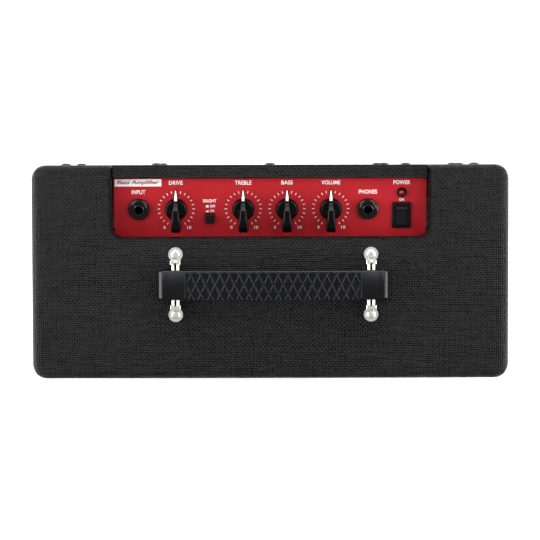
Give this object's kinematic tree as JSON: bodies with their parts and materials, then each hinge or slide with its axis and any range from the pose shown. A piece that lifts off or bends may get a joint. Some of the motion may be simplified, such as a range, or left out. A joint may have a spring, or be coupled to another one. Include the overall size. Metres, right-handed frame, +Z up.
{
  "type": "bass guitar practice amplifier",
  "caption": "Small vinyl-covered practice combo with a tilted red control panel let into its top, pointer knobs, jacks, a rocker switch, a strap handle and paired speakers behind cloth.",
  "frame": {"origin": "middle of the footprint, on the surface the feet stand on", "axes": "+X to the player's right seen from the front, +Y to the rear, +Z up; the grille faces -Y"},
  "size_m": [0.38, 0.1716, 0.26],
  "materials": {
    "vinyl": "matte",
    "rear_vinyl": "matte",
    "softwood": "matte",
    "baffle_wood": "matte",
    "cloth": "matte",
    "foot_rubber": "matte",
    "black_screw": "satin",
    "zinc_screw": "satin",
    "panel_red": "satin",
    "chassis_steel": "satin",
    "board_laminate": "satin",
    "knob_plastic": "satin",
    "black_plastic": "satin",
    "led_red": "gloss",
    "chrome": "polished",
    "speaker_steel": "satin",
    "ferrite": "matte",
    "cone_paper": "matte",
    "coil_copper": "satin",
    "surround_foam": "matte",
    "spider_cloth": "matte",
    "core_steel": "matte",
    "winding_tape": "satin",
    "aluminium": "satin",
    "capacitor_sleeve": "satin",
    "handle_rubber": "satin"
  },
  "bodies": {
    "root": {"amplifier_chip": "black_plastic", "baffle_board": "baffle_wood", "bass_pot": "chassis_steel", "bottom_board": "vinyl", "bright_switch": "black_plastic", "cabinet_battens": "softwood", "chassis": "chassis_steel", "chassis_screws": "zinc_screw", "circuit_board": "board_laminate", "control_panel": "panel_red", "drive_pot": "chassis_steel", "feet": "foot_rubber", "filter_capacitors": "capacitor_sleeve", "foot_screws": "zinc_screw", "grille_cloth": "cloth", "grille_frame": "softwood", "handle_brackets": "chrome", "handle_screws": "chrome", "heat_sink": "aluminium", "input_jack": "black_plastic", "jack_nuts": "black_plastic", "led_bezel": "black_plastic", "left_side_board": "vinyl", "left_speaker_frame": "speaker_steel", "left_speaker_magnet": "ferrite", "lower_rear_board": "rear_vinyl", "mains_inlet": "black_plastic", "phones_jack": "black_plastic", "pot_nuts": "zinc_screw", "power_led": "led_red", "rear_board_screws": "black_screw", "right_side_board": "vinyl", "right_speaker_frame": "speaker_steel", "right_speaker_magnet": "ferrite", "rocker_housing": "black_plastic", "speaker_screws": "black_screw", "speaker_spiders": "spider_cloth", "speaker_surrounds": "surround_foam", "top_board": "vinyl", "transformer_core": "core_steel", "transformer_windings": "winding_tape", "treble_pot": "chassis_steel", "upper_rear_board": "rear_vinyl", "volume_pot": "chassis_steel"},
    "drive_knob": {"drive_knob": "knob_plastic", "drive_shaft": "aluminium"},
    "treble_knob": {"treble_knob": "knob_plastic", "treble_shaft": "aluminium"},
    "bass_knob": {"bass_knob": "knob_plastic", "bass_shaft": "aluminium"},
    "volume_knob": {"volume_knob": "knob_plastic", "volume_shaft": "aluminium"},
    "bright_button": {"bright_button": "black_plastic"},
    "power_rocker": {"power_rocker": "black_plastic"},
    "handle": {"handle_strap": "handle_rubber", "handle_links": "chrome"},
    "left_cone": {"left_speaker_cone": "cone_paper", "left_voice_coil": "coil_copper"},
    "right_cone": {"right_speaker_cone": "cone_paper", "right_voice_coil": "coil_copper"}
  },
  "joints": [
    {"name": "drive_knob_turn", "type": "hinge", "parent": "root", "child": "drive_knob", "pos_m": [-0.075, 0.0498, 0.2238], "axis": [0, -0.2419, 0.9703], "range_deg": [-150, 150]},
    {"name": "treble_knob_turn", "type": "hinge", "parent": "root", "child": "treble_knob", "pos_m": [-0.0214, 0.0498, 0.2238], "axis": [0, -0.2419, 0.9703], "range_deg": [-150, 150]},
    {"name": "bass_knob_turn", "type": "hinge", "parent": "root", "child": "bass_knob", "pos_m": [0.0135, 0.0498, 0.2238], "axis": [0, -0.2419, 0.9703], "range_deg": [-150, 150]},
    {"name": "volume_knob_turn", "type": "hinge", "parent": "root", "child": "volume_knob", "pos_m": [0.0484, 0.0498, 0.2238], "axis": [0, -0.2419, 0.9703], "range_deg": [-150, 150]},
    {"name": "bright_button_push", "type": "slide", "parent": "root", "child": "bright_button", "axis": [0, 0.2419, -0.9703], "range_m": [0, 0.003]},
    {"name": "power_rocker_tilt", "type": "hinge", "parent": "root", "child": "power_rocker", "pos_m": [0.1049, 0.04471, 0.22274], "axis": [1, 0, 0], "range_deg": [-25, 0]},
    {"name": "handle_lift", "type": "slide", "parent": "root", "child": "handle", "axis": [0, 0, 1], "range_m": [0, 0.002]},
    {"name": "left_cone_move", "type": "slide", "parent": "root", "child": "left_cone", "axis": [0, 1, 0], "range_m": [-0.002, 0.002], "stiffness_N_per_m": 1000, "deforming": ["speaker_surrounds", "speaker_spiders"]},
    {"name": "right_cone_move", "type": "slide", "parent": "root", "child": "right_cone", "axis": [0, 1, 0], "range_m": [-0.002, 0.002], "stiffness_N_per_m": 1000, "deforming": ["speaker_surrounds", "speaker_spiders"]}
  ]
}
